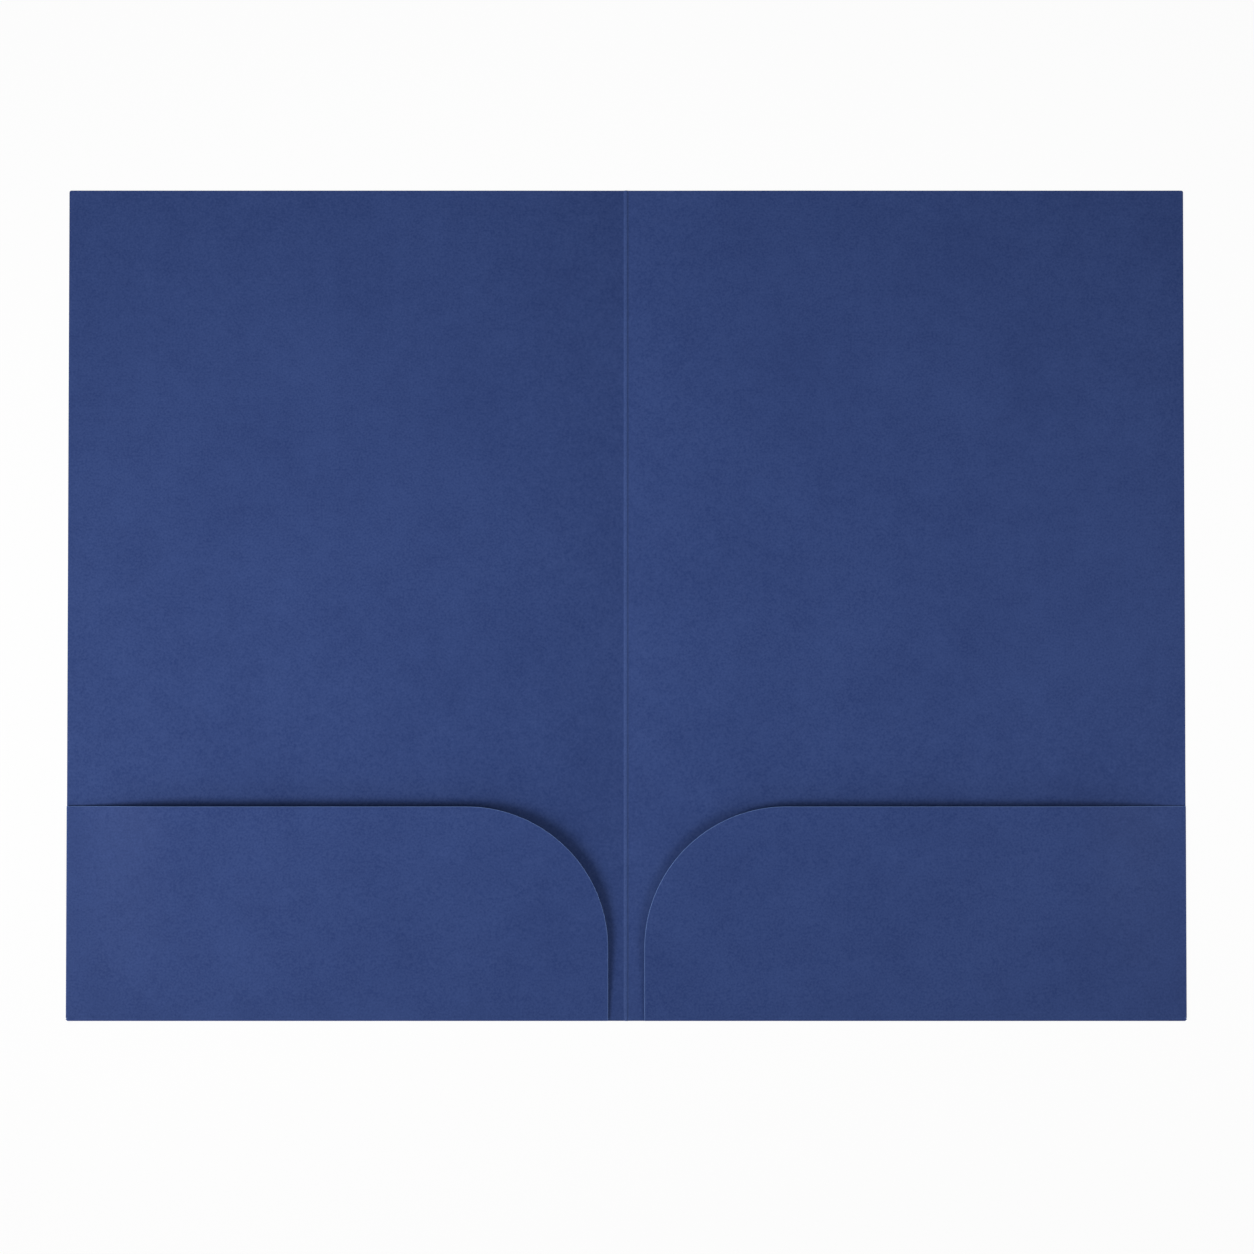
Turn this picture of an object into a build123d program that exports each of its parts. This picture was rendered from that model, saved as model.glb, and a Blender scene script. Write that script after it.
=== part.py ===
from build123d import *
import os

# A two pocket folder, lying open on its back with its inside up.
# It is one die-cut sheet of card. Score lines part it into two covers, a spine bead, two pocket
# panels and two glue tabs, and a strip of adhesive holds each tab to the cover behind it.
# A pocket panel stays flat apart from the bent strip that takes it down to its glued side.
# X runs across the open folder, Y up the page and Z up from the table.
# The origin is on the table, under the middle of the spine and half-way up the covers.

# Card and covers
card = 0.3  # thickness of the card
folder_height = 228.6  # bottom fold to top edge
cover_width = 153.7  # middle of the spine to the outer edge
corner_radius = 0.55  # die-cut outer corners
bead_rise = 0.25  # spine bead above the covers' inner faces
shut_gap = 0.1  # between the two pockets when the folder is shut

# Pockets
pocket_depth = 58.9  # bottom fold to the pocket's top edge
pocket_corner = 38.7  # radius of the cut-away inner corner
spine_margin = 5.0  # middle of the spine to the pocket's inner edge
mouth_lift = 3.5  # how far the pocket's top edge gapes
lift_run = 30.0  # length over which the panel rises from its glued side
crease_slit = 0.05  # between the bottom fold and the pocket panel

# Glue tabs, folded under the pockets' outer edges
tab_width = 13.0
tab_taper = 4.0  # each end of the tab is cut back this much towards its free edge
tab_corner = 1.5  # radius of the tab's free corners
tab_trim = 1.0  # bottom crease to the start of the tab
fold_slit = 0.05  # between the tab and the pocket panel over it
glue_film = 0.05  # thickness of the adhesive
glue_width = 8.0
glue_inset = 4.0  # ends of the tab's free edge to the ends of the adhesive

# Heights of the layers above the table
inner_face = card
tab_under = inner_face + glue_film
tab_top = tab_under + card
pocket_under = tab_top + fold_slit
pocket_top = pocket_under + card

# The spine bead is as wide as the two pockets that lie between the shut covers
spine_width = 2 * (pocket_top - inner_face) + shut_gap

# The bottom fold goes half round the bottom crease, from the cover to the pocket
bottom_y = -folder_height / 2
top_y = folder_height / 2
bottom_bend = (pocket_under - inner_face) / 2
crease_y = bottom_y + bottom_bend + card
crease_z = inner_face + bottom_bend

# The side fold goes half round the side crease, from the pocket to the tab, flush with the cover
side_bend = fold_slit / 2
side_x = cover_width - side_bend - card
side_z = tab_top + side_bend

# Edges of the pocket panel and the glue tab
level_x = side_x - lift_run
mouth_y = bottom_y + pocket_depth
foot_y = crease_y + crease_slit
tab_y = crease_y + tab_trim


def slab(outline, low, high):
    """Card or glue of a flat outline, between two heights."""
    return extrude(Pos(0, 0, low) * outline, high - low)


def cover():
    """Flat cover, with a tongue beside the spine that reaches past the bottom crease."""
    outline = make_face(
        Polyline(
            (spine_width / 2, bottom_y),
            (spine_margin, bottom_y),
            (spine_margin, crease_y),
            (cover_width, crease_y),
            (cover_width, top_y),
            (spine_width / 2, top_y),
            close=True,
        )
    )
    corner = outline.vertices().group_by(Axis.Y)[-1].sort_by(Axis.X)[-1]
    return slab(fillet(corner, corner_radius), 0, card)


def spine_bead():
    """Strip pressed up into a bead inside and a groove outside, between the two score lines."""
    half = spine_width / 2
    under = ThreePointArc((-half, 0), (0, bead_rise), (half, 0))
    over = Pos(0, card) * under
    ends = [Line(under @ 0, over @ 0), Line(under @ 1, over @ 1)]
    section = Plane.XZ.offset(-bottom_y) * make_face([under, over, *ends])
    return extrude(section, folder_height, dir=(0, 1, 0))


def fold_strip(origin, inward, along, bend, length):
    """Card turned back on itself through half a tube that is open on its inward side."""
    outer = bend + card
    ring = Circle(outer) - Circle(bend)
    half_ring = ring & Pos(-outer, 0) * Rectangle(2 * outer, 2 * outer)
    return extrude(Plane(origin, x_dir=inward, z_dir=along) * half_ring, length)


def level_section(y, lift):
    """Straight stretch of the pocket panel, cut across at y."""
    low = pocket_under + lift
    corners = [
        (spine_margin, y, low),
        (level_x, y, low),
        (level_x, y, low + card),
        (spine_margin, y, low + card),
    ]
    return make_face(Polyline(*corners, close=True))


def rising_section(y, lift):
    """Stretch of the pocket panel that rises from the side fold in an S, cut across at y."""
    third = lift_run / 3
    under = Bezier(
        (side_x, y, pocket_under),
        (side_x - third, y, pocket_under),
        (level_x + third, y, pocket_under + lift),
        (level_x, y, pocket_under + lift),
    )
    over = Pos(0, 0, card) * under
    ends = [Line(under @ 0, over @ 0), Line(under @ 1, over @ 1)]
    return make_face([under, over, *ends])


def pocket():
    """Flat pocket panel with a rounded inner corner, tilted up about its crease so that it gapes."""
    panel = loft([level_section(foot_y, 0), level_section(mouth_y, mouth_lift)], ruled=True)
    outline = make_face(
        Polyline(
            (spine_margin, foot_y),
            (level_x, foot_y),
            (level_x, mouth_y),
            (spine_margin, mouth_y),
            close=True,
        )
    )
    corner = outline.vertices().group_by(Axis.Y)[-1].sort_by(Axis.X)[0]
    return panel & slab(fillet(corner, pocket_corner), 0, pocket_top + mouth_lift)


def pocket_side():
    """Bent strip of the pocket panel, flat along its glued side and lifted where it meets the rest."""
    return loft([rising_section(foot_y, 0), rising_section(mouth_y, mouth_lift)], ruled=True)


def glue_tab():
    """Tab with tapered ends and rounded free corners, flat on the glue."""
    free_x = side_x - tab_width
    outline = make_face(
        Polyline(
            (side_x, tab_y),
            (side_x, mouth_y),
            (free_x, mouth_y - tab_taper),
            (free_x, tab_y + tab_taper),
            close=True,
        )
    )
    free_corners = outline.vertices().group_by(Axis.X)[0]
    return slab(fillet(free_corners, tab_corner), tab_under, tab_top)


def glue_strip():
    """Round-ended strip of adhesive under the middle of the tab."""
    length = mouth_y - tab_y - 2 * (tab_taper + glue_inset)
    strip = SlotOverall(length, glue_width, rotation=90)
    middle = Pos(side_x - tab_width / 2, (mouth_y + tab_y) / 2)
    return slab(middle * strip, inner_face, tab_under)


bottom_fold = fold_strip(
    (spine_margin, crease_y, crease_z), (0, 1, 0), (1, 0, 0), bottom_bend, cover_width - spine_margin
)
side_fold = fold_strip((side_x, tab_y, side_z), (-1, 0, 0), (0, 1, 0), side_bend, mouth_y - tab_y)

# The left half mirrors the right half
right_half = {
    "cover": cover(),
    "bottom_fold": bottom_fold,
    "pocket": pocket(),
    "pocket_side": pocket_side(),
    "side_fold": side_fold,
    "glue_tab": glue_tab(),
    "glue_strip": glue_strip(),
}

os.makedirs("parts", exist_ok=True)
export_step(spine_bead(), "parts/spine_crease.step")
for name, shape in right_half.items():
    export_step(shape, f"parts/right_{name}.step")
    export_step(mirror(shape, about=Plane.YZ), f"parts/left_{name}.step")
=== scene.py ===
import math

import bmesh
import bpy
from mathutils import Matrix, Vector


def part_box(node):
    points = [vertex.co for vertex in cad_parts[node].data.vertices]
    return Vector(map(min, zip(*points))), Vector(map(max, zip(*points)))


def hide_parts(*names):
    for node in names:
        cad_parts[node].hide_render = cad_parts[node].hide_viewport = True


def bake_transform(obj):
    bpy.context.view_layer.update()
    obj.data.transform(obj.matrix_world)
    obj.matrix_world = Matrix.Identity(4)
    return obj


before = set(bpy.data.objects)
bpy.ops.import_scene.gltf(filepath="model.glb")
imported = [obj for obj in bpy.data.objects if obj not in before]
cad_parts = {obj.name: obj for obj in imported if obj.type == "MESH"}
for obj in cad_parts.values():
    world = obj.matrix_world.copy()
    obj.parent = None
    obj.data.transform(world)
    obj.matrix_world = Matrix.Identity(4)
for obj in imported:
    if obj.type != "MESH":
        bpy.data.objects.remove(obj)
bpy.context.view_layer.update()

# A two pocket folder of dyed card, lying open with its inside up.
# Each half is two sheets of card: a cover with its half of the spine bead, and a pocket with its folds.
# Lengths are in metres. X runs across the folder, Y up the page and Z up from the table.
MM = 0.001
SIDES = {"left": -1, "right": 1}

# Sizes of the right half, which the left half mirrors, read from the frame
cover_low, cover_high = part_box("right_cover")
_, bead_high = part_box("spine_crease")
panel_low, panel_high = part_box("right_pocket")
strip_low, strip_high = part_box("right_pocket_side")
bottom_fold_low, bottom_fold_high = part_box("right_bottom_fold")
side_fold_low, side_fold_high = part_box("right_side_fold")

card = cover_high.z  # thickness of the card
cover_edge = cover_high.x
bottom_y = cover_low.y
top_y = cover_high.y
half_spine = bead_high.x
pocket_inner_x = panel_low.x
level_x = strip_low.x  # the pocket panel is flat from here to its inner edge
side_crease_x = strip_high.x
crease_y = bottom_fold_high.y
mouth_y = panel_high.y
mouth_lift = panel_high.z - panel_low.z - card
bottom_bend = (bottom_fold_high.z - bottom_fold_low.z) / 2 - card
side_bend = (side_fold_high.z - side_fold_low.z) / 2 - card

# Spine bead
crest_gain = 1.35  # pressed to a sharper crest, which is this much higher than an arc
bead_rise = crest_gain * (bead_high.z - card)
half_crest = 0.08 * MM  # half the flat top of the bead
spine_steps = 16

# Die-cut outlines
outer_corner = 0.55 * MM
pocket_corner = 38.7 * MM
corner_steps = 60
small_corner_steps = 6
edge_softness = 0.07 * MM
same_place = 0.003 * MM  # a cut this close to a point goes through it
sharp_angle = math.radians(20)  # faces that meet at more than this show an edge

# Painted highlight along edges and creases, as a share of the paler colour, which is 1 on the cut edges of
# the pockets
highlight_layer = "painted_highlight"
highlight_band_width = 0.2 * MM  # band along a cut edge with a fainter painted highlight
# the band's painted highlight is this share of the full one
band_highlight = 0.1
# painted highlight on the spine bead, and paler creased card on the pockets' side folds
crease_pallor_and_highlight = 0.06
seam = highlight_band_width + edge_softness  # band without painted highlight along an edge that runs on into another sheet

# Folds, in which the neutral fibre runs half-way through the card
fold_notch = 0.45 * MM  # the outer end of the bottom fold is drawn in by this much
fold_relief = 0.35 * MM  # between the bottom fold and the side fold
fold_steps = 12
bottom_bend_length = math.pi * (bottom_bend + card / 2)
side_bend_length = math.pi * (side_bend + card / 2)

# Pocket before it is folded, hanging below the cover's crease
pocket_depth = mouth_y - crease_y
lift_run = side_crease_x - level_x
panel_foot_y = crease_y - bottom_bend_length
flat_mouth_y = panel_foot_y - pocket_depth
flat_side_x = side_crease_x + side_bend_length

# Cells that the card is divided into, so that it can bend
cover_cell = 6 * MM
panel_cell = 5 * MM
rise_cell = 2.5 * MM

# Unevenness of the loose card
cover_wave = 0.3 * MM
cover_wave_length = 90 * MM
wave_fade = 45 * MM  # the covers' waves grow to their height over this length
mouth_wave = 0.25 * MM
mouth_wave_length = 45 * MM
lean_slope = 0.15  # slope of the covers beside the spine
lean_reach = {"left": 60 * MM, "right": 32 * MM}  # the slope ends this far from the spine


def linear(colour):
    """Linear RGBA of an sRGB hex colour."""
    channels = [int(colour[i:i + 2], 16) / 255 for i in (1, 3, 5)]
    return [c / 12.92 if c <= 0.04045 else ((c + 0.055) / 1.055) ** 2.4 for c in channels] + [1.0]


def add(tree, kind, inputs=None, **settings):
    """Adds a node with its settings. An input is a value, or an output socket that is linked to it."""
    node = tree.nodes.new(kind)
    for name, value in settings.items():
        setattr(node, name, value)
    for socket, source in (inputs or {}).items():
        if isinstance(source, bpy.types.NodeSocket):
            tree.links.new(source, node.inputs[socket])
        else:
            node.inputs[socket].default_value = source
    return node


def new_material(name):
    """Empty node material and its node tree."""
    material = bpy.data.materials.new(name)
    material.use_nodes = True
    material.node_tree.nodes.clear()
    return material, material.node_tree


def card_material(name, leaning):
    """Uncoated cover stock, dyed navy in the pulp and calendered.
    The eye sees a matt, even blue with faint clouds where the fibres lie thicker, and a fine tooth.
    A highlight is painted in a paler colour along the pockets' cut edges and on the spine bead, and the
    pockets' creased side folds are paler too. Leaning card also rises a little from the spine."""
    cloud_size = 40 * MM
    grain_size = 0.55 * MM  # pulp fibres are finer, and are drawn this coarse to show
    tooth_height = 0.004 * MM
    material, tree = new_material(name)
    place = add(tree, "ShaderNodeTexCoord").outputs["Object"]
    clouds = add(tree, "ShaderNodeTexNoise", {
        "Vector": place, "Scale": 1 / cloud_size, "Detail": 4.0, "Roughness": 0.95,
    }).outputs["Fac"]
    grain = add(tree, "ShaderNodeTexNoise", {
        "Vector": place, "Scale": 1 / grain_size, "Detail": 1.0, "Roughness": 0.5,
    }).outputs["Fac"]
    # share of the painted highlight, kept on the card's faces; it also makes those faces matt
    highlight = add(tree, "ShaderNodeAttribute", attribute_name=highlight_layer, attribute_type="GEOMETRY")
    highlight_share = highlight.outputs["Fac"]
    tooth = add(tree, "ShaderNodeMath", {
        0: grain, 1: tooth_height, 2: add_lean(tree, place) if leaning else 0.0,
    }, operation="MULTIPLY_ADD")
    bump = add(tree, "ShaderNodeBump", {"Height": tooth.outputs[0], "Strength": 1.0, "Distance": 1.0})
    smooth = add(tree, "ShaderNodeMapRange", {"Value": clouds, "To Min": 0.45, "To Max": 0.55})
    rough = add(tree, "ShaderNodeMix", {"Factor": highlight_share, "A": smooth.outputs["Result"], "B": 1.0})
    shader = add(tree, "ShaderNodeBsdfPrincipled", {
        "Base Color": card_colour(tree, clouds, grain, highlight_share), "Roughness": rough.outputs["Result"],
        "Normal": bump.outputs["Normal"], "IOR": 1.5, "Specular IOR Level": 0.06,
    })
    add(tree, "ShaderNodeOutputMaterial", {"Surface": shader.outputs["BSDF"]})
    return material


def card_colour(tree, clouds, grain, highlight_share):
    """Navy that is paler in the clouds and on single fibres, and palest where a highlight is painted on
    edges and the spine bead, or where the pockets' side folds are creased.
    """
    dark_cloud, pale_cloud = linear("#2c3e70"), linear("#3a4e83")
    dark_fibre, pale_fibre = linear("#263a6f"), linear("#415387")
    # paler colour of the painted highlights, and of the pockets' creased side folds
    pallor_and_highlight_colour = linear("#7592cb")
    fibre_share = 0.5
    cloudy = add(tree, "ShaderNodeMapRange", {"Value": clouds, "From Min": 0.3, "From Max": 0.7})
    grainy = add(tree, "ShaderNodeMapRange", {"Value": grain, "From Min": 0.25, "From Max": 0.75})
    dyed = add(tree, "ShaderNodeMix", {
        "Factor": cloudy.outputs["Result"], "A": dark_cloud, "B": pale_cloud,
    }, data_type="RGBA")
    fibres = add(tree, "ShaderNodeMix", {
        "Factor": grainy.outputs["Result"], "A": dark_fibre, "B": pale_fibre,
    }, data_type="RGBA")
    fibred = add(tree, "ShaderNodeMix", {
        "Factor": fibre_share, "A": dyed.outputs["Result"], "B": fibres.outputs["Result"],
    }, data_type="RGBA")
    # mixes in the painted highlight and the paler creases
    colour = add(tree, "ShaderNodeMix", {
        "Factor": highlight_share, "A": fibred.outputs["Result"], "B": pallor_and_highlight_colour,
    }, data_type="RGBA")
    return colour.outputs["Result"]


def add_lean(tree, place):
    """Height of covers that lean up from the spine, steepest beside it."""
    across = add(tree, "ShaderNodeSeparateXYZ", {0: place}).outputs["X"]
    height = 0.0
    for name, side in SIDES.items():
        near = add(tree, "ShaderNodeMapRange", {
            "Value": across, "From Min": side * lean_reach[name], "From Max": 0.0,
        })
        dip = add(tree, "ShaderNodeMath", {0: near.outputs["Result"], 1: 2.0}, operation="POWER")
        depth = lean_slope * lean_reach[name] / 2
        lowered = add(tree, "ShaderNodeMath", {
            0: dip.outputs[0], 1: -depth, 2: height,
        }, operation="MULTIPLY_ADD")
        height = lowered.outputs[0]
    return height


def glue_material():
    """Dried adhesive, spread from a nozzle: a cream film with a dull sheen and faint drag marks."""
    thin_film, thick_film = linear("#d8cfb4"), linear("#efe8d6")
    drag_spacing = 0.8 * MM
    drag_length = 10 * MM
    drag_height = 0.01 * MM
    material, tree = new_material("dried_adhesive")
    place = add(tree, "ShaderNodeTexCoord").outputs["Object"]
    stretched = add(tree, "ShaderNodeMapping", {
        "Vector": place, "Scale": (1.0, drag_spacing / drag_length, 1.0),
    })
    drag = add(tree, "ShaderNodeTexNoise", {
        "Vector": stretched.outputs["Vector"], "Scale": 1 / drag_spacing, "Detail": 2.0,
    }).outputs["Fac"]
    colour = add(tree, "ShaderNodeMix", {"Factor": drag, "A": thin_film, "B": thick_film}, data_type="RGBA")
    bump = add(tree, "ShaderNodeBump", {"Height": drag, "Strength": 1.0, "Distance": drag_height})
    shader = add(tree, "ShaderNodeBsdfPrincipled", {
        "Base Color": colour.outputs["Result"], "Roughness": 0.45, "Normal": bump.outputs["Normal"],
        "IOR": 1.48,
    })
    add(tree, "ShaderNodeOutputMaterial", {"Surface": shader.outputs["BSDF"]})
    return material


def add_seen(tree):
    """1 for what the camera sees, also in a gloss or through glass, and 0 for what only lights the rest."""
    light_path = add(tree, "ShaderNodeLightPath").outputs
    glossy = add(tree, "ShaderNodeMath", {
        0: light_path["Is Camera Ray"], 1: light_path["Is Glossy Ray"],
    }, operation="MAXIMUM")
    seen = add(tree, "ShaderNodeMath", {
        0: glossy.outputs[0], 1: light_path["Is Transmission Ray"],
    }, operation="MAXIMUM")
    return seen.outputs[0]


def floor_material():
    """White sweep that shows as white and still takes a faint shadow."""
    glow_share = 0.95
    material, tree = new_material("white_sweep")
    matt = add(tree, "ShaderNodeBsdfDiffuse", {"Color": linear("#e6e6e6")})
    shaded = add(tree, "ShaderNodeBsdfDiffuse", {"Color": linear("#ffffff")})
    glow = add(tree, "ShaderNodeEmission", {"Color": linear("#fefefe"), "Strength": 1.0})
    white = add(tree, "ShaderNodeMixShader", {
        0: glow_share, 1: shaded.outputs["BSDF"], 2: glow.outputs["Emission"],
    })
    surface = add(tree, "ShaderNodeMixShader", {
        0: add_seen(tree), 1: matt.outputs["BSDF"], 2: white.outputs["Shader"],
    })
    add(tree, "ShaderNodeOutputMaterial", {"Surface": surface.outputs["Shader"]})
    return material


def arc(centre_x, centre_y, radius, start, end, steps):
    """Points on an arc, from one angle to another, in degrees."""
    angles = [math.radians(start + (end - start) * i / steps) for i in range(steps + 1)]
    return [(centre_x + radius * math.cos(a), centre_y + radius * math.sin(a)) for a in angles]


def cover_outline():
    """Right cover from the middle of the spine, with the tongue beside the spine, anticlockwise."""
    corner = arc(
        cover_edge - outer_corner, top_y - outer_corner, outer_corner,
        start=0, end=90, steps=small_corner_steps,
    )
    foot = [(0, bottom_y), (pocket_inner_x, bottom_y), (pocket_inner_x, crease_y), (cover_edge, crease_y)]
    return [*foot, *corner, (0, top_y)]


def pocket_outline():
    """Right pocket before it is folded, anticlockwise."""
    corner = arc(
        pocket_inner_x + pocket_corner, flat_mouth_y + pocket_corner, pocket_corner,
        start=180, end=270, steps=corner_steps,
    )
    relief_y = panel_foot_y - fold_relief
    side_edge = [(flat_side_x, flat_mouth_y), (flat_side_x, relief_y), (side_crease_x, relief_y)]
    fold_end = [(cover_edge, panel_foot_y), (cover_edge, crease_y)]
    return [(pocket_inner_x, crease_y), *corner, *side_edge, *fold_end]


def steps_between(start, end, cell):
    """Evenly spaced places from start to end, about one cell apart."""
    count = max(1, round(abs(end - start) / cell))
    return [start + (end - start) * i / count for i in range(count + 1)]


def put(name, data):
    """Object at the origin that holds the data."""
    thing = bpy.data.objects.new(name, data)
    bpy.context.scene.collection.objects.link(thing)
    return thing


def cut_out(mesh, outline, highlight, edge_highlight):
    """Cuts flat card to an outline, paints a highlight on its walls and a fainter one in a band along its
    edges, and gives the points of its rim.
    """
    low = [mesh.verts.new((x, y, 0)) for x, y in outline]
    high = [mesh.verts.new((x, y, card)) for x, y in outline]
    broad_faces = [mesh.faces.new(low[::-1]), mesh.faces.new(high)]
    for i in range(len(outline)):
        wall = mesh.faces.new((low[i - 1], low[i], high[i], high[i - 1]))
        wall[highlight] = edge_highlight
    mesh.normal_update()
    rubbed = bmesh.ops.inset_individual(mesh, faces=broad_faces, thickness=highlight_band_width, use_even_offset=True)
    for face in rubbed["faces"]:
        face[highlight] = edge_highlight * band_highlight
    return set(low) | set(high)


def soften(mesh, rim, square, highlight, edge_highlight):
    """Rounds the edges between the points of the rim, apart from those between points that stay square, and
    paints the edge highlight on the rounding.
    """
    soft = []
    for edge in mesh.edges:
        ends = set(edge.verts)
        level = abs(edge.verts[0].co.z - edge.verts[1].co.z) < card / 2
        if level and ends <= rim and not ends <= square:
            soft.append(edge)
    rounded = bmesh.ops.bevel(mesh, geom=soft, offset=edge_softness, segments=2, profile=0.5, affect="EDGES")
    for face in rounded["faces"]:
        face[highlight] = edge_highlight


def divide(mesh, direction, places):
    """Divides the card at places along a direction, so that it can bend there."""
    for place in places:
        parts = [*mesh.verts, *mesh.edges, *mesh.faces]
        bmesh.ops.bisect_plane(
            mesh, geom=parts, dist=same_place, plane_co=direction * place, plane_no=direction
        )


def put_in_order(parts, place):
    """Orders a card's points or faces by their place, so that its mesh is the same each time."""
    ranks = {part: rank for rank, part in enumerate(sorted(parts, key=place))}
    parts.sort(key=ranks.get)


def flat_card(name, outline, side, cuts_x, cuts_y, edge_highlight, joined, creased):
    """Card cut to an outline, lying flat, with soft edges that carry a painted highlight, and divided along
    the cuts.
    An edge where joined(x, y) is true runs on into another sheet, so it stays square and has no painted
    highlight.
    Card where creased(x, y) is true is paler: on the spine bead this is a painted highlight, on the pockets'
    side folds creased card."""
    mesh = bmesh.new()
    highlight = mesh.faces.layers.float.new(highlight_layer)
    rim = cut_out(mesh, [(side * x, y) for x, y in outline][::side], highlight, edge_highlight)
    square = {point for point in rim if joined(side * point.co.x, point.co.y)}
    soften(mesh, rim, square, highlight, edge_highlight)
    divide(mesh, Vector((side, 0, 0)), cuts_x)
    divide(mesh, Vector((0, 1, 0)), cuts_y)
    # no painted highlight where sheets join; the creased card is paler, which on the spine bead is a painted
    # highlight
    for face in mesh.faces:
        centre = face.calc_center_median()
        if joined(side * centre.x, centre.y):
            face[highlight] = 0.0
        if creased(side * centre.x, centre.y):
            face[highlight] = max(face[highlight], crease_pallor_and_highlight)
    put_in_order(mesh.verts, lambda point: point.co[:])
    put_in_order(mesh.faces, lambda face: face.calc_center_median()[:])
    data = bpy.data.meshes.new(name)
    mesh.to_mesh(data)
    mesh.free()
    return put(name, data)


def new_tree(name, sockets):
    """Geometry node tree with named inputs and an output like the first of them, and what it is given."""
    tree = bpy.data.node_groups.new(name, "GeometryNodeTree")
    for socket, kind in sockets.items():
        tree.interface.new_socket(socket, in_out="INPUT", socket_type=kind)
    result, kind = next(iter(sockets.items()))
    tree.interface.new_socket(result, in_out="OUTPUT", socket_type=kind)
    return tree, tree.nodes.new("NodeGroupInput").outputs


def end_tree(tree, given, position):
    """Moves the card's points to their new position and gives it its material."""
    tree.is_modifier = True
    moved = add(tree, "GeometryNodeSetPosition", {"Geometry": given["Card"], "Position": position})
    real = add(tree, "GeometryNodeRealizeInstances", {"Geometry": moved.outputs["Geometry"]})
    dressed = add(tree, "GeometryNodeSetMaterial", {
        "Geometry": real.outputs["Geometry"], "Material": given["Material"],
    })
    add(tree, "NodeGroupOutput", {"Card": dressed.outputs["Geometry"]})


def add_waves(tree, split, height, length):
    """Height of slow, uneven waves across a sheet."""
    flat = add(tree, "ShaderNodeCombineXYZ", {"X": split["X"], "Y": split["Y"]})
    scale = add(tree, "ShaderNodeMath", {0: 1.0, 1: length}, operation="DIVIDE")
    noise = add(tree, "ShaderNodeTexNoise", {
        "Vector": flat.outputs["Vector"], "Scale": scale.outputs[0], "Detail": 0.0,
    })
    waves = add(tree, "ShaderNodeMath", {0: noise.outputs["Fac"], 1: height}, operation="MULTIPLY")
    return waves.outputs[0]


def cover_tree():
    """Presses the bead into the spine and lets the rest of the cover lie a little uneven."""
    tree, given = new_tree("press_cover", {
        "Card": "NodeSocketGeometry",
        "Half spine": "NodeSocketFloat",
        "Half crest": "NodeSocketFloat",
        "Bead rise": "NodeSocketFloat",
        "Wave": "NodeSocketFloat",
        "Wave length": "NodeSocketFloat",
        "Wave start": "NodeSocketFloat",
        "Wave fade": "NodeSocketFloat",
        "Material": "NodeSocketMaterial",
    })
    place = add(tree, "GeometryNodeInputPosition").outputs["Position"]
    split = add(tree, "ShaderNodeSeparateXYZ", {0: place}).outputs
    out = add(tree, "ShaderNodeMath", {0: split["X"]}, operation="ABSOLUTE").outputs[0]
    bead = add(tree, "ShaderNodeMapRange", {
        "Value": out, "From Min": given["Half spine"], "From Max": given["Half crest"],
        "To Min": 0.0, "To Max": given["Bead rise"],
    }, interpolation_type="SMOOTHSTEP")
    above = add(tree, "ShaderNodeMath", {0: split["Y"], 1: given["Wave start"]}, operation="SUBTRACT")
    up_page = add(tree, "ShaderNodeMapRange", {
        "Value": above.outputs[0], "From Min": 0.0, "From Max": given["Wave fade"],
    }, interpolation_type="SMOOTHSTEP")
    off_spine = add(tree, "ShaderNodeMapRange", {
        "Value": out, "From Min": given["Half spine"], "From Max": given["Wave fade"],
    }, interpolation_type="SMOOTHSTEP")
    waves = add_waves(tree, split, given["Wave"], given["Wave length"])
    faded = add(tree, "ShaderNodeMath", {0: waves, 1: up_page.outputs["Result"]}, operation="MULTIPLY")
    rise = add(tree, "ShaderNodeMath", {
        0: faded.outputs[0], 1: off_spine.outputs["Result"], 2: bead.outputs["Result"],
    }, operation="MULTIPLY_ADD")
    raised = add(tree, "ShaderNodeCombineXYZ", {"Z": rise.outputs[0]})
    moved = add(tree, "ShaderNodeVectorMath", {0: place, 1: raised.outputs["Vector"]}, operation="ADD")
    end_tree(tree, given, moved.outputs["Vector"])
    return tree


def fold_tree():
    """Wraps what lies past a crease half round a bend, so that it lies back on itself."""
    tree, given = new_tree("fold_over", {
        "Position": "NodeSocketVector",
        "Past crease": "NodeSocketFloat",
        "Bend length": "NodeSocketFloat",
        "Towards crease": "NodeSocketVector",
        "Bend axis": "NodeSocketVector",
        "Bend centre": "NodeSocketVector",
    })
    slide = add(tree, "ShaderNodeMapRange", {
        "Value": given["Past crease"], "From Min": 0.0, "From Max": given["Bend length"],
        "To Min": 0.0, "To Max": given["Bend length"],
    })
    turn = add(tree, "ShaderNodeMapRange", {
        "Value": given["Past crease"], "From Min": 0.0, "From Max": given["Bend length"],
        "To Min": 0.0, "To Max": math.pi,
    })
    slid = add(tree, "ShaderNodeVectorMath", {
        0: given["Towards crease"], 1: slide.outputs["Result"], 2: given["Position"],
    }, operation="MULTIPLY_ADD")
    turned = add(tree, "ShaderNodeVectorRotate", {
        "Vector": slid.outputs["Vector"], "Center": given["Bend centre"], "Axis": given["Bend axis"],
        "Angle": turn.outputs["Result"],
    }, rotation_type="AXIS_ANGLE")
    add(tree, "NodeGroupOutput", {"Position": turned.outputs["Vector"]})
    return tree


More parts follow.
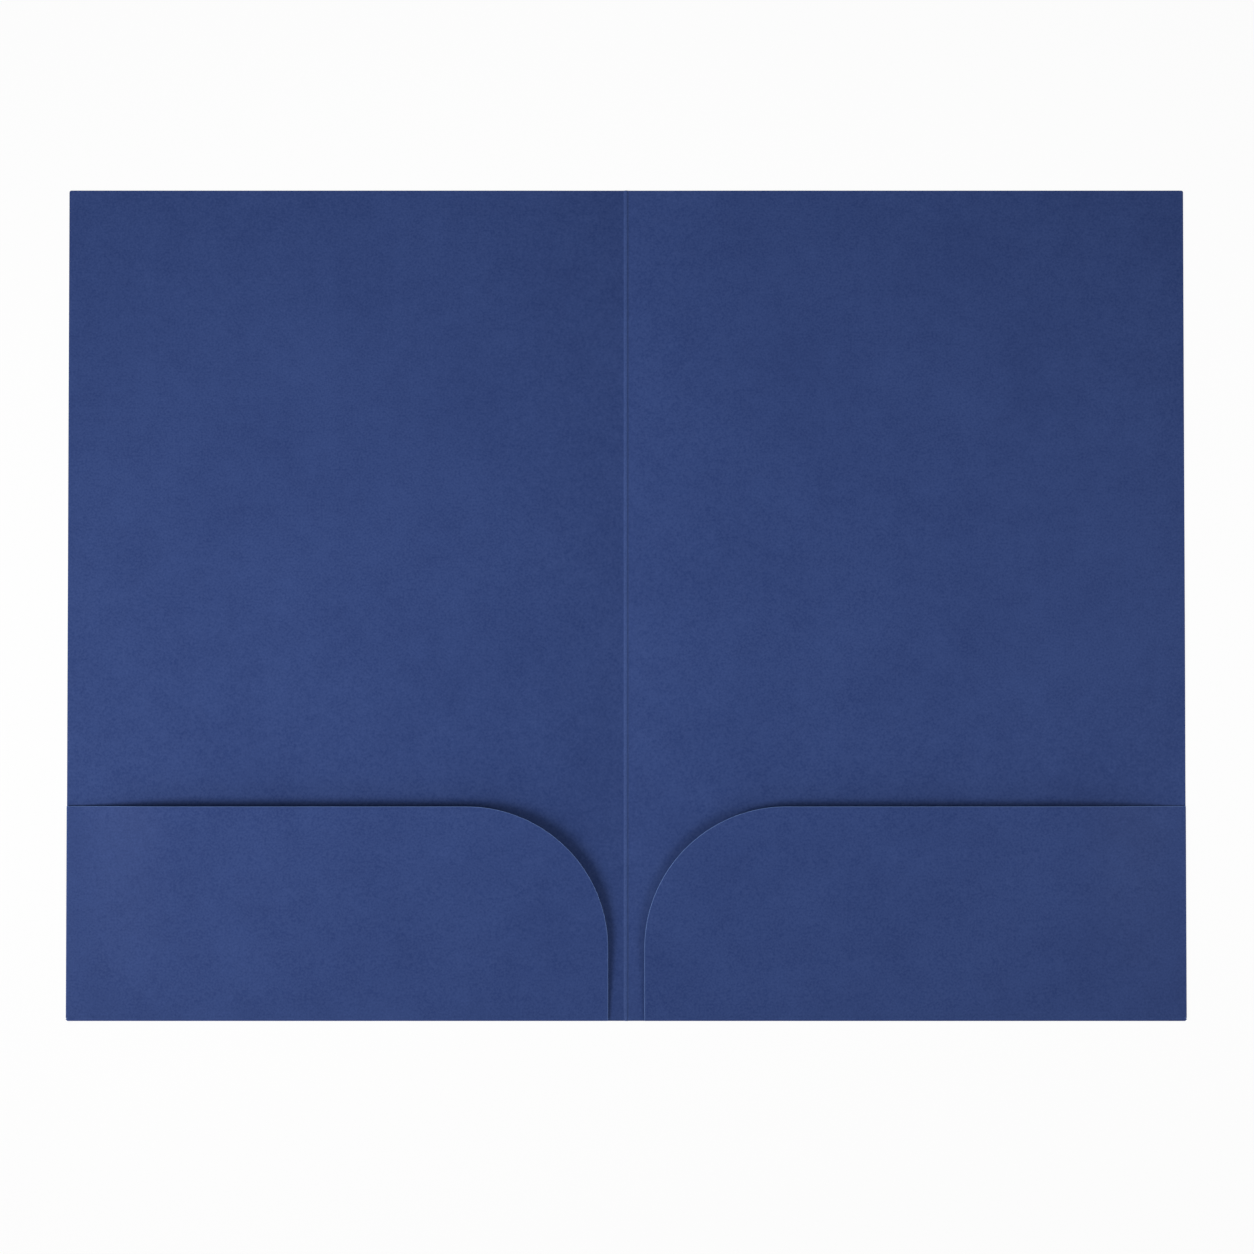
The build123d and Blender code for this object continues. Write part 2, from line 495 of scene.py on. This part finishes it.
def add_gape(tree, given, split, inward, up_panel):
    """Drop of the panel before it is folded, most along its mouth and none along its glued side."""
    across = add(tree, "ShaderNodeMapRange", {
        "Value": inward, "From Min": 0.0, "From Max": given["Lift run"],
    }, interpolation_type="SMOOTHSTEP")
    up = add(tree, "ShaderNodeMapRange", {
        "Value": up_panel, "From Min": 0.0, "From Max": given["Pocket depth"],
    })
    share = add(tree, "ShaderNodeMath", {
        0: across.outputs["Result"], 1: up.outputs["Result"],
    }, operation="MULTIPLY")
    sag = add_waves(tree, split, given["Mouth wave"], given["Wave length"])
    mouth_drop = add(tree, "ShaderNodeMath", {0: sag, 1: given["Mouth lift"]}, operation="SUBTRACT")
    drop = add(tree, "ShaderNodeMath", {0: share.outputs[0], 1: mouth_drop.outputs[0]}, operation="MULTIPLY")
    return drop.outputs[0]


def add_notch(tree, given, inward, past_bottom):
    """How far the bottom fold is drawn in, most half-way round its outer end."""
    turn = add(tree, "ShaderNodeMapRange", {
        "Value": past_bottom, "From Min": 0.0, "From Max": given["Bottom bend length"],
        "To Min": 0.0, "To Max": math.pi,
    })
    round_fold = add(tree, "ShaderNodeMath", {0: turn.outputs["Result"]}, operation="SINE")
    fold_end = add(tree, "ShaderNodeMapRange", {
        "Value": inward, "From Min": given["Notch reach"], "From Max": 0.0,
        "To Min": 0.0, "To Max": given["Fold notch"],
    })
    notch = add(tree, "ShaderNodeMath", {
        0: fold_end.outputs["Result"], 1: round_fold.outputs[0],
    }, operation="MULTIPLY")
    return notch.outputs[0]


def pocket_tree(fold_over):
    """Drops the mouth of a flat pocket, so that it gapes once folded, and draws in its bottom fold's end.
    Then it folds the side under and the foot over."""
    tree, given = new_tree("fold_pocket", {
        "Card": "NodeSocketGeometry",
        "Side": "NodeSocketFloat",
        "Side crease": "NodeSocketFloat",
        "Side bend length": "NodeSocketFloat",
        "Side bend centre": "NodeSocketVector",
        "Bottom crease": "NodeSocketFloat",
        "Bottom bend length": "NodeSocketFloat",
        "Bottom bend centre": "NodeSocketVector",
        "Relief middle": "NodeSocketFloat",
        "Fold notch": "NodeSocketFloat",
        "Notch reach": "NodeSocketFloat",
        "Pocket depth": "NodeSocketFloat",
        "Mouth lift": "NodeSocketFloat",
        "Lift run": "NodeSocketFloat",
        "Mouth wave": "NodeSocketFloat",
        "Wave length": "NodeSocketFloat",
        "Material": "NodeSocketMaterial",
    })
    place = add(tree, "GeometryNodeInputPosition").outputs["Position"]
    split = add(tree, "ShaderNodeSeparateXYZ", {0: place}).outputs
    out = add(tree, "ShaderNodeMath", {0: split["X"], 1: given["Side"]}, operation="MULTIPLY").outputs[0]
    past_side = add(tree, "ShaderNodeMath", {
        0: out, 1: given["Side crease"],
    }, operation="SUBTRACT").outputs[0]
    past_bottom = add(tree, "ShaderNodeMath", {
        0: given["Bottom crease"], 1: split["Y"],
    }, operation="SUBTRACT").outputs[0]
    up_panel = add(tree, "ShaderNodeMath", {
        0: past_bottom, 1: given["Bottom bend length"],
    }, operation="SUBTRACT").outputs[0]
    inward = add(tree, "ShaderNodeMath", {0: past_side, 1: -1.0}, operation="MULTIPLY").outputs[0]
    against = add(tree, "ShaderNodeMath", {0: given["Side"], 1: -1.0}, operation="MULTIPLY").outputs[0]

    drop = add_gape(tree, given, split, inward, up_panel)
    notch = add_notch(tree, given, inward, past_bottom)
    drawn_in = add(tree, "ShaderNodeMath", {0: notch, 1: against}, operation="MULTIPLY")
    shift = add(tree, "ShaderNodeCombineXYZ", {"X": drawn_in.outputs[0], "Z": drop})
    shifted = add(tree, "ShaderNodeVectorMath", {0: place, 1: shift.outputs["Vector"]}, operation="ADD")

    beyond_relief = add(tree, "ShaderNodeMath", {
        0: up_panel, 1: given["Relief middle"],
    }, operation="GREATER_THAN")
    past_side_crease = add(tree, "ShaderNodeMath", {
        0: past_side, 1: beyond_relief.outputs[0],
    }, operation="MULTIPLY")
    to_side_crease = add(tree, "ShaderNodeCombineXYZ", {"X": against})
    side_axis = add(tree, "ShaderNodeCombineXYZ", {"Y": against})
    side_folded = add(tree, "GeometryNodeGroup", {
        "Position": shifted.outputs["Vector"],
        "Past crease": past_side_crease.outputs[0],
        "Bend length": given["Side bend length"],
        "Towards crease": to_side_crease.outputs["Vector"],
        "Bend axis": side_axis.outputs["Vector"],
        "Bend centre": given["Side bend centre"],
    }, node_tree=fold_over)
    foot_folded = add(tree, "GeometryNodeGroup", {
        "Position": side_folded.outputs["Position"],
        "Past crease": past_bottom,
        "Bend length": given["Bottom bend length"],
        "Towards crease": (0, 1, 0),
        "Bend axis": (-1, 0, 0),
        "Bend centre": given["Bottom bend centre"],
    }, node_tree=fold_over)
    end_tree(tree, given, foot_folded.outputs["Position"])
    return tree


def shape(piece, tree, values):
    """Runs a geometry node tree on a piece and keeps the result as its mesh."""
    modifier = piece.modifiers.new(tree.name, "NODES")
    modifier.node_group = tree
    for item in tree.interface.items_tree:
        if item.in_out == "INPUT" and item.name in values:
            modifier[item.identifier] = values[item.name]
    shaped = piece.evaluated_get(bpy.context.evaluated_depsgraph_get())
    mesh = bpy.data.meshes.new_from_object(shaped)
    piece.modifiers.remove(modifier)
    piece.data = mesh
    mesh.name = piece.name
    mesh.shade_smooth()
    mesh.set_sharp_from_angle(angle=sharp_angle)


def make_cover(name, side, tree, material):
    """Cover with its half of the spine bead. It bends between the spine and the cover at the score line."""
    fine_reach = 2 * half_spine  # finely divided, because the card bends there
    cuts_x = [
        *steps_between(0, fine_reach, fine_reach / spine_steps)[1:],
        *steps_between(fine_reach, cover_edge, cover_cell)[1:-1],
    ]
    cuts_y = steps_between(bottom_y, top_y, cover_cell)[1:-1]

    def joined(x, y):
        return x < seam or (abs(y - crease_y) < seam and x > pocket_inner_x + highlight_band_width)

    # the spine bead, which is paled as a painted highlight
    def creased(x, y):
        return x < half_spine

    piece = flat_card(
        f"{name}_cover_card", cover_outline(), side, cuts_x, cuts_y,
        edge_highlight=0.0, joined=joined, creased=creased,
    )
    shape(piece, tree, {
        "Half spine": half_spine,
        "Half crest": half_crest,
        "Bead rise": bead_rise,
        "Wave": cover_wave,
        "Wave length": cover_wave_length,
        "Wave start": mouth_y,
        "Wave fade": wave_fade,
        "Material": material,
    })
    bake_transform(piece)
    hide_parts(f"{name}_cover", "spine_crease")


def make_pocket(name, side, tree, material):
    """Pocket panel with its bottom and side folds."""
    cuts_x = [
        *steps_between(pocket_inner_x, level_x, panel_cell)[1:],
        *steps_between(level_x, side_crease_x, rise_cell)[1:-1],
        *steps_between(side_crease_x, flat_side_x, side_bend_length / fold_steps)[:-1],
    ]
    cuts_y = [
        *steps_between(crease_y, panel_foot_y, bottom_bend_length / fold_steps)[1:],
        *steps_between(panel_foot_y, flat_mouth_y, panel_cell)[1:-1],
    ]

    def joined(x, y):
        return y > crease_y - seam

    def creased(x, y):
        return x > side_crease_x

    # the pockets' cut edges carry a painted highlight; the covers' have none
    piece = flat_card(
        f"{name}_pocket_card", pocket_outline(), side, cuts_x, cuts_y,
        edge_highlight=1.0, joined=joined, creased=creased,
    )
    shape(piece, tree, {
        "Side": float(side),
        "Side crease": side_crease_x,
        "Side bend length": side_bend_length,
        "Side bend centre": (side * side_crease_x, 0.0, card + side_bend),
        "Bottom crease": crease_y,
        "Bottom bend length": bottom_bend_length,
        "Bottom bend centre": (0.0, crease_y, card + bottom_bend),
        "Relief middle": fold_relief / 2,
        "Fold notch": fold_notch,
        "Notch reach": rise_cell,
        "Pocket depth": pocket_depth,
        "Mouth lift": mouth_lift,
        "Lift run": lift_run,
        "Mouth wave": mouth_wave,
        "Wave length": mouth_wave_length,
        "Material": material,
    })
    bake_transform(piece)
    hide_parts(*[f"{name}_{part}" for part in ("pocket", "pocket_side", "bottom_fold", "side_fold")])


def dress(node, material):
    """Gives its material to a piece that stays as the frame has it."""
    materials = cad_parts[node].data.materials
    materials.clear()
    materials.append(material)


def make_folder():
    """Both halves of the folder, with the tabs and glue strips that the frame gives."""
    pocket_card = card_material("navy_uncoated_card", leaning=False)
    cover_card = card_material("navy_uncoated_card_leaning", leaning=True)
    glue = glue_material()
    press_cover = cover_tree()
    fold_pocket = pocket_tree(fold_tree())
    for name, side in SIDES.items():
        make_cover(name, side, press_cover, cover_card)
        make_pocket(name, side, fold_pocket, pocket_card)
        dress(f"{name}_glue_tab", pocket_card)
        dress(f"{name}_glue_strip", glue)


def make_floor():
    """White sweep just under the folder."""
    reach = 4.0
    drop = 0.01 * MM
    corners = [(-reach, -reach), (reach, -reach), (reach, reach), (-reach, reach)]
    mesh = bpy.data.meshes.new("floor")
    mesh.from_pydata([(x, y, -drop) for x, y in corners], [], [(0, 1, 2, 3)])
    mesh.materials.append(floor_material())
    put("floor", mesh)


def add_lamp(name, location, aim, size, spread, power):
    """Square softbox with a grid that keeps its light within a spread, in degrees."""
    lamp = bpy.data.lights.new(name, "AREA")
    lamp.size = size
    lamp.spread = math.radians(spread)
    lamp.energy = power
    holder = put(name, lamp)
    holder.location = location
    holder.rotation_euler = (Vector(location) - Vector(aim)).to_track_quat("Z", "Y").to_euler()
    holder.visible_camera = False


def light_studio():
    """Softbox at the lower left, and weaker ones at the right and low at the bottom."""
    add_lamp(
        "key_lamp", location=(-0.42, -0.161, 0.37), aim=(-0.031, 0.072, 0),
        size=0.26, spread=73, power=0.508,
    )
    add_lamp(
        "fill_lamp", location=(0.42, -0.1, 0.36), aim=(0.157, -0.038, 0),
        size=0.3, spread=59, power=0.168,
    )
    add_lamp(
        "low_lamp", location=(-0.18, -0.46, 0.2), aim=(-0.06, -0.06, 0),
        size=0.2, spread=100, power=0.135,
    )


def surround_studio():
    """Even surround that lights the folder faintly and shows as white."""
    ambient = 0.18
    world = bpy.data.worlds.new("studio")
    world.use_nodes = True
    tree = world.node_tree
    tree.nodes.clear()
    even = add(tree, "ShaderNodeBackground", {"Color": linear("#ffffff"), "Strength": ambient})
    white = add(tree, "ShaderNodeBackground", {"Color": linear("#ffffff"), "Strength": 1.0})
    mixed = add(tree, "ShaderNodeMixShader", {
        0: add_seen(tree), 1: even.outputs["Background"], 2: white.outputs["Background"],
    })
    add(tree, "ShaderNodeOutputWorld", {"Surface": mixed.outputs["Shader"]})
    bpy.context.scene.world = world


def set_camera():
    """Camera almost straight above, tipped so that the bottom of the folder is a little nearer."""
    tilt = math.radians(1.3)
    distance = 0.815
    aim = Vector((0.0002, -0.0062, 0))
    camera = bpy.data.cameras.new("camera")
    camera.lens = 85
    camera.sensor_width = 36
    holder = put("camera", camera)
    back = Vector((0, -math.sin(tilt), math.cos(tilt)))
    holder.location = aim + back * distance
    holder.rotation_euler = (tilt, 0, 0)
    bpy.context.scene.camera = holder


make_folder()
make_floor()
light_studio()
surround_studio()
set_camera()
bpy.context.scene.view_settings.view_transform = "Standard"
